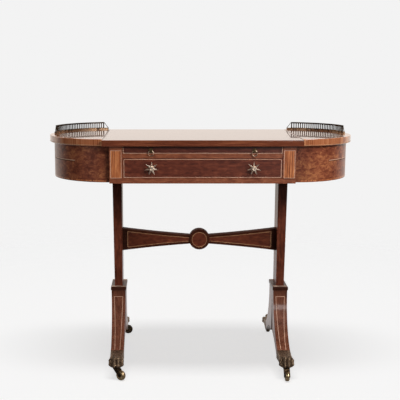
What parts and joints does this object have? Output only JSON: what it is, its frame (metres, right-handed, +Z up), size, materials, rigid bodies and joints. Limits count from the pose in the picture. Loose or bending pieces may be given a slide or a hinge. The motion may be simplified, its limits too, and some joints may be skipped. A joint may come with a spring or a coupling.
{
  "type": "writing table",
  "caption": "Writing table with rounded ends, brass galleries, a drawer and a writing slide, on stretchered sabre trestles with paw feet and castors.",
  "frame": {"origin": "on the floor under the middle of the table", "axes": "+X along the table to the right of a sitter, -Y towards the sitter and the way the drawer opens, +Z up"},
  "size_m": [0.962, 0.534, 0.767],
  "materials": {
    "top_veneer": "french polished, long grain",
    "end_top_veneer": "french polished, crossbanded edge",
    "burr_veneer": "polished burr",
    "satinwood": "polished straight grain",
    "frieze_mahogany": "polished",
    "drawer_mahogany": "polished flame figure",
    "slide_mahogany": "waxed",
    "lining_leather": "worn hide",
    "carcase_pine": "bare",
    "drawer_oak": "bare oak",
    "upright_mahogany": "dark polished",
    "leg_mahogany": "polished",
    "stretcher_mahogany": "dark polished",
    "gallery_brass": "patinated",
    "handle_brass": "worn gilt",
    "paw_brass": "dark patina",
    "castor_brass": "worn"
  },
  "bodies": {
    "table": {"top_centre": "top_veneer", "top_end_left": "end_top_veneer", "top_end_right": "end_top_veneer", "gallery_left": "gallery_brass", "gallery_right": "gallery_brass", "gallery_base_left": "gallery_brass", "gallery_base_right": "gallery_brass", "end_core_left": "carcase_pine", "end_core_right": "carcase_pine", "end_veneer_left": "burr_veneer", "end_veneer_right": "burr_veneer", "pilaster_front_left": "satinwood", "pilaster_front_right": "satinwood", "pilaster_back_left": "satinwood", "pilaster_back_right": "satinwood", "bottom_rail": "frieze_mahogany", "mid_rail": "frieze_mahogany", "back_frieze": "frieze_mahogany", "partition_left": "carcase_pine", "partition_right": "carcase_pine", "bearers": "carcase_pine", "drawer_runners": "carcase_pine", "slide_runners": "carcase_pine", "drawer_stops": "carcase_pine", "upright_left": "upright_mahogany", "upright_right": "upright_mahogany", "trestle_caps": "leg_mahogany", "trestle_blocks": "leg_mahogany", "leg_front_left": "leg_mahogany", "leg_front_right": "leg_mahogany", "leg_back_left": "leg_mahogany", "leg_back_right": "leg_mahogany", "stretcher_arm_left": "stretcher_mahogany", "stretcher_arm_right": "stretcher_mahogany", "stretcher_roundel": "stretcher_mahogany", "paw_caps": "paw_brass"},
    "writing_slide": {"slide_panel": "slide_mahogany", "slide_lining": "lining_leather", "slide_lipping": "drawer_mahogany", "slide_stop_pegs": "slide_mahogany", "ring_plates": "handle_brass"},
    "ring_left": {"pull_ring_left": "handle_brass"},
    "ring_right": {"pull_ring_right": "handle_brass"},
    "drawer": {"drawer_front": "drawer_mahogany", "drawer_side_left": "drawer_oak", "drawer_side_right": "drawer_oak", "drawer_back": "drawer_oak", "drawer_bottom": "drawer_oak", "star_knob_left": "handle_brass", "star_knob_right": "handle_brass", "knob_nuts": "handle_brass"},
    "castor_fork_front_left": {"castor_horn_front_left": "castor_brass"},
    "castor_roller_front_left": {"castor_wheel_front_left": "castor_brass"},
    "castor_fork_front_right": {"castor_horn_front_right": "castor_brass"},
    "castor_roller_front_right": {"castor_wheel_front_right": "castor_brass"},
    "castor_fork_back_left": {"castor_horn_back_left": "castor_brass"},
    "castor_roller_back_left": {"castor_wheel_back_left": "castor_brass"},
    "castor_fork_back_right": {"castor_horn_back_right": "castor_brass"},
    "castor_roller_back_right": {"castor_wheel_back_right": "castor_brass"}
  },
  "joints": [
    {"name": "slide_travel", "type": "slide", "parent": "table", "child": "writing_slide", "axis": [0, -1, 0], "range_m": [0, 0.25]},
    {"name": "drawer_travel", "type": "slide", "parent": "table", "child": "drawer", "axis": [0, -1, 0], "range_m": [0, 0.28]},
    {"name": "ring_left_swing", "type": "hinge", "parent": "writing_slide", "child": "ring_left", "pos_m": [-0.155, -0.2156, 0.7083], "axis": [-1, 0, 0], "range_deg": [-8, 100]},
    {"name": "ring_right_swing", "type": "hinge", "parent": "writing_slide", "child": "ring_right", "pos_m": [0.155, -0.2156, 0.7083], "axis": [-1, 0, 0], "range_deg": [-8, 100]},
    {"name": "castor_front_left_swivel", "type": "hinge", "parent": "table", "child": "castor_fork_front_left", "pos_m": [-0.264, -0.232, 0.0385], "axis": [0, 0, 1], "continuous": true},
    {"name": "castor_front_left_roll", "type": "hinge", "parent": "castor_fork_front_left", "child": "castor_roller_front_left", "pos_m": [-0.24903, -0.2437, 0.016], "axis": [0.6157, 0.788, 0], "continuous": true},
    {"name": "castor_front_right_swivel", "type": "hinge", "parent": "table", "child": "castor_fork_front_right", "pos_m": [0.264, -0.232, 0.0385], "axis": [0, 0, 1], "continuous": true},
    {"name": "castor_front_right_roll", "type": "hinge", "parent": "castor_fork_front_right", "child": "castor_roller_front_right", "pos_m": [0.264, -0.251, 0.016], "axis": [1, 0, 0], "continuous": true},
    {"name": "castor_back_left_swivel", "type": "hinge", "parent": "table", "child": "castor_fork_back_left", "pos_m": [-0.264, 0.232, 0.0385], "axis": [0, 0, 1], "continuous": true},
    {"name": "castor_back_left_roll", "type": "hinge", "parent": "castor_fork_back_left", "child": "castor_roller_back_left", "pos_m": [-0.245, 0.232, 0.016], "axis": [0, 1, 0], "continuous": true},
    {"name": "castor_back_right_swivel", "type": "hinge", "parent": "table", "child": "castor_fork_back_right", "pos_m": [0.264, 0.232, 0.0385], "axis": [0, 0, 1], "continuous": true},
    {"name": "castor_back_right_roll", "type": "hinge", "parent": "castor_fork_back_right", "child": "castor_roller_back_right", "pos_m": [0.264, 0.251, 0.016], "axis": [-1, 0, 0], "continuous": true}
  ]
}
